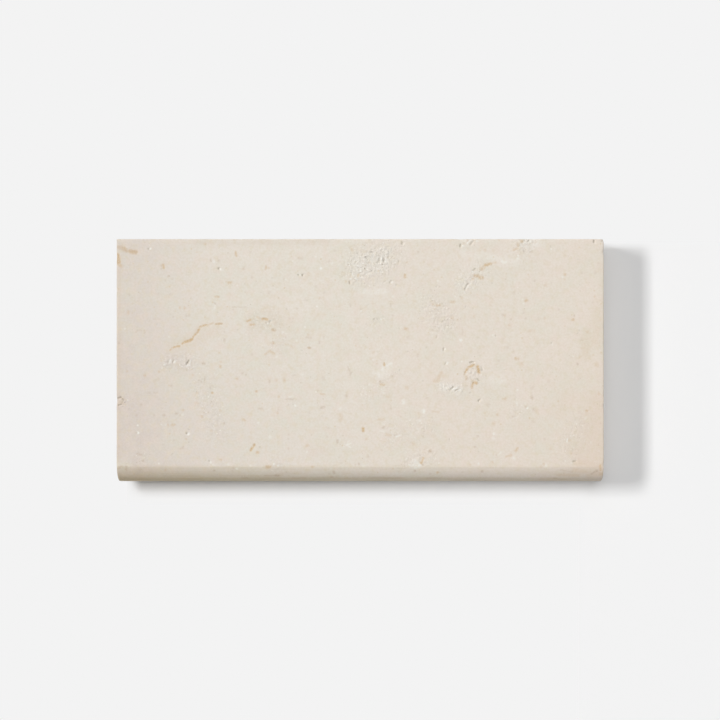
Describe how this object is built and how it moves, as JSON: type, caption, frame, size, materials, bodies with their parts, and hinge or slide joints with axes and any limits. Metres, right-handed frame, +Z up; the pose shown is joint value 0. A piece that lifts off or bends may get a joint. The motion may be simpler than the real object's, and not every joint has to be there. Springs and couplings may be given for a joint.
{
  "type": "limestone pool coping",
  "caption": "Cream limestone pool coping: a rectangular sawn slab with a bullnose along one long edge, laid round a pool's rim.",
  "frame": {"origin": "centre of the footprint, on the sawn bed that the stone lies on", "axes": "+X along the pool's edge and the stone's length, -Y towards the water and the bullnose, +Y towards the deck and the sawn back edge, +Z up out of the worn face"},
  "size_m": [0.61, 0.305, 0.05],
  "materials": {
    "limestone": "matte"
  },
  "bodies": {
    "root": {"coping_stone": "limestone"}
  },
  "joints": []
}
